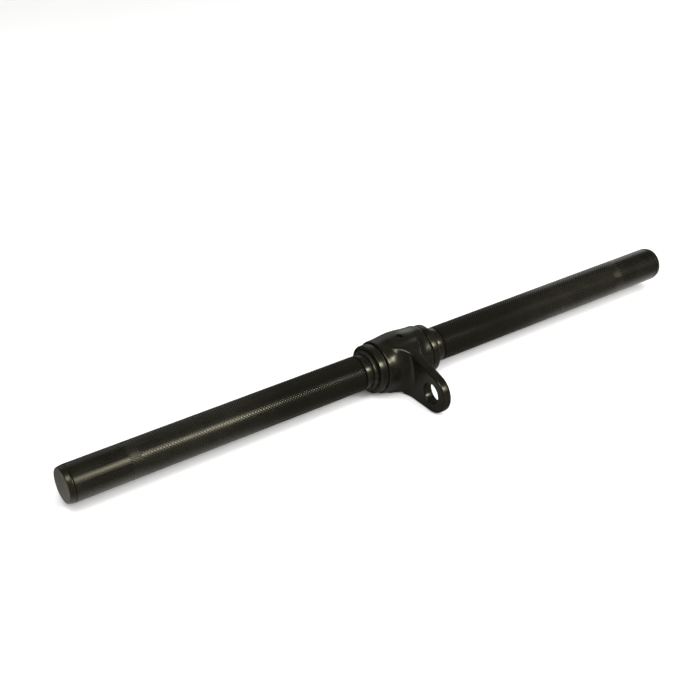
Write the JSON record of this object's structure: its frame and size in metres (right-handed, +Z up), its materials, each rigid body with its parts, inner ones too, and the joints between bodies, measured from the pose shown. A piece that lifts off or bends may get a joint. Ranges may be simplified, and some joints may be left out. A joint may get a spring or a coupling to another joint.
{
  "type": "revolving cable machine bar",
  "caption": "Straight knurled pull bar that turns in a central swivel hub, with a flat ear and eye on the hub for a snap hook.",
  "frame": {"origin": "on the floor, under the middle of the object's box; the bar's axis runs 18.674 mm behind it and 19.8 mm above it", "axes": "+X along the bar, +Y from the ear towards the back of the hub, +Z up, with the ear's underside flat on the floor"},
  "size_m": [0.508, 0.077, 0.0396],
  "materials": {
    "cast_black": "satin black coating on a casting",
    "satin_black": "satin black, turned",
    "grip_black": "satin black over diamond knurling",
    "cap_black": "satin black with a matt end face",
    "dark_steel": "blackened steel",
    "bronze": "sintered bronze, oiled",
    "rubber": "matt black"
  },
  "bodies": {
    "swivel": {"swivel_hub": "cast_black", "grease_screw": "dark_steel", "left_bush": "bronze", "right_bush": "bronze", "left_seal": "rubber", "right_seal": "rubber", "left_thrust_washer": "dark_steel", "right_thrust_washer": "dark_steel"},
    "bar": {"centre_shaft": "satin_black", "left_collar": "satin_black", "right_collar": "satin_black", "left_collar_screw": "dark_steel", "right_collar_screw": "dark_steel", "left_backing_washer": "dark_steel", "right_backing_washer": "dark_steel", "left_circlip": "dark_steel", "right_circlip": "dark_steel", "left_grip_tube": "grip_black", "right_grip_tube": "grip_black", "left_end_cap": "cap_black", "right_end_cap": "cap_black"}
  },
  "joints": [
    {"name": "bar_spin", "type": "hinge", "parent": "swivel", "child": "bar", "pos_m": [0, 0.01867, 0.0198], "axis": [1, 0, 0], "continuous": true}
  ]
}
